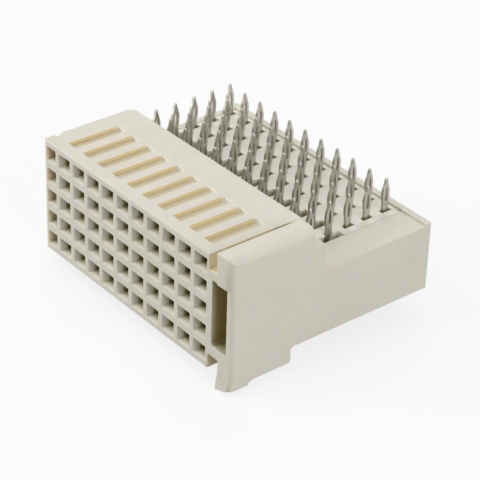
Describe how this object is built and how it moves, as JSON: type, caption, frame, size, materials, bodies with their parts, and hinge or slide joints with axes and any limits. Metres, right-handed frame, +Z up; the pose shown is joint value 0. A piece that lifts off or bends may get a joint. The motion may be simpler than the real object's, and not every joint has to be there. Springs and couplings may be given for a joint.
{
  "type": "backplane connector",
  "caption": "Right-angle backplane receptacle: moulded block with a grid of funnelled contact chambers, guide flange with slot, and upright press-fit tails on a hard-metric grid.",
  "frame": {"origin": "middle of the box on the ground, under the part", "axes": "+X along the contact columns towards the guide flange, +Y from the mating face to the rear, +Z up towards the board side, where the tails point"},
  "size_m": [0.025, 0.0206, 0.0124],
  "materials": {
    "housing_resin": "matte",
    "plate_resin": "matte",
    "contact_tin": "satin"
  },
  "bodies": {
    "root": {"housing": "housing_resin", "organiser_plate": "plate_resin", "contact_a01": "contact_tin", "contact_a02": "contact_tin", "contact_a03": "contact_tin", "contact_a04": "contact_tin", "contact_a05": "contact_tin", "contact_a06": "contact_tin", "contact_a07": "contact_tin", "contact_a08": "contact_tin", "contact_a09": "contact_tin", "contact_a10": "contact_tin", "contact_a11": "contact_tin", "contact_b01": "contact_tin", "contact_b02": "contact_tin", "contact_b03": "contact_tin", "contact_b04": "contact_tin", "contact_b05": "contact_tin", "contact_b06": "contact_tin", "contact_b07": "contact_tin", "contact_b08": "contact_tin", "contact_b09": "contact_tin", "contact_b10": "contact_tin", "contact_b11": "contact_tin", "contact_c01": "contact_tin", "contact_c02": "contact_tin", "contact_c03": "contact_tin", "contact_c04": "contact_tin", "contact_c05": "contact_tin", "contact_c06": "contact_tin", "contact_c07": "contact_tin", "contact_c08": "contact_tin", "contact_c09": "contact_tin", "contact_c10": "contact_tin", "contact_c11": "contact_tin", "contact_d01": "contact_tin", "contact_d02": "contact_tin", "contact_d03": "contact_tin", "contact_d04": "contact_tin", "contact_d05": "contact_tin", "contact_d06": "contact_tin", "contact_d07": "contact_tin", "contact_d08": "contact_tin", "contact_d09": "contact_tin", "contact_d10": "contact_tin", "contact_d11": "contact_tin", "contact_e01": "contact_tin", "contact_e02": "contact_tin", "contact_e03": "contact_tin", "contact_e04": "contact_tin", "contact_e05": "contact_tin", "contact_e06": "contact_tin", "contact_e07": "contact_tin", "contact_e08": "contact_tin", "contact_e09": "contact_tin", "contact_e10": "contact_tin", "contact_e11": "contact_tin"}
  },
  "joints": []
}
